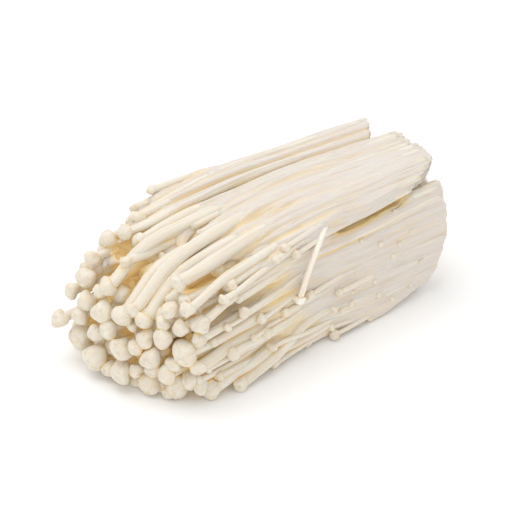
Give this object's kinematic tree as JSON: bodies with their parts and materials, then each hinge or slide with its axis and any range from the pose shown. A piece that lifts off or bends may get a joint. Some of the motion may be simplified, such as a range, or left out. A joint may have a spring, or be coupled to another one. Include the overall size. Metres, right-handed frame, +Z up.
{
  "type": "enoki mushroom bunch",
  "caption": "Bunch of long thin white enoki mushrooms lying on its side, with small round caps at one end and a fused, cut base at the other.",
  "frame": {"origin": "centre of the flat spot under the bunch that it rests on", "axes": "+X along the stems, from the caps to the cut base; +Z up, away from the surface it lies on; +Y across the bunch, to the side that leans back"},
  "size_m": [0.1628, 0.075, 0.0612],
  "materials": {
    "lower_flesh": "mushroom flesh, creamy white, faintly translucent and satin, finely fibrous along the stems and smooth on the caps, golden in the gaps",
    "upper_flesh": "mushroom flesh, creamy white, faintly translucent and satin, finely fibrous along the stems and smooth on the caps, golden in the gaps",
    "back_flesh": "mushroom flesh, creamy white, faintly translucent and satin, finely fibrous along the stems and smooth on the caps, golden in the gaps"
  },
  "bodies": {
    "root": {"lower_clump": "lower_flesh", "upper_clump": "upper_flesh", "back_clump": "back_flesh"}
  },
  "joints": []
}
